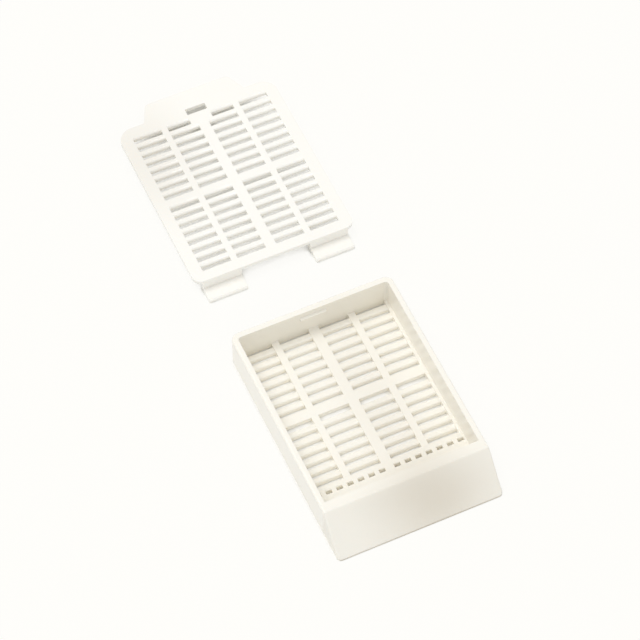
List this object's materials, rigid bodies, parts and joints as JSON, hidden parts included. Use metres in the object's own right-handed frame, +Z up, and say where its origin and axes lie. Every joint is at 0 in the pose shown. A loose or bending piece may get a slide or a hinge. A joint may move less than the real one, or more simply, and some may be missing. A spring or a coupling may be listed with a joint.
{
  "type": "tissue cassette",
  "caption": "White plastic tissue cassette for histology: an open slotted base with a sloping writing face, and its slotted lid with tongues, a hook and a finger tab, lying apart.",
  "frame": {"origin": "centre of the base's footprint, on its flat underside", "axes": "+Z up, +Y from the writing slope towards the back wall and the lid behind it, +X to the right when the slope faces the viewer"},
  "size_m": [0.0288, 0.0927, 0.0063],
  "materials": {
    "acetal": "satin white acetal"
  },
  "bodies": {
    "base": {"base": "acetal"},
    "lid": {"lid": "acetal"}
  },
  "joints": [
    {"name": "lid_lift", "type": "slide", "parent": "base", "child": "lid", "axis": [0, 0, 1], "range_m": [0, 0.03]}
  ]
}
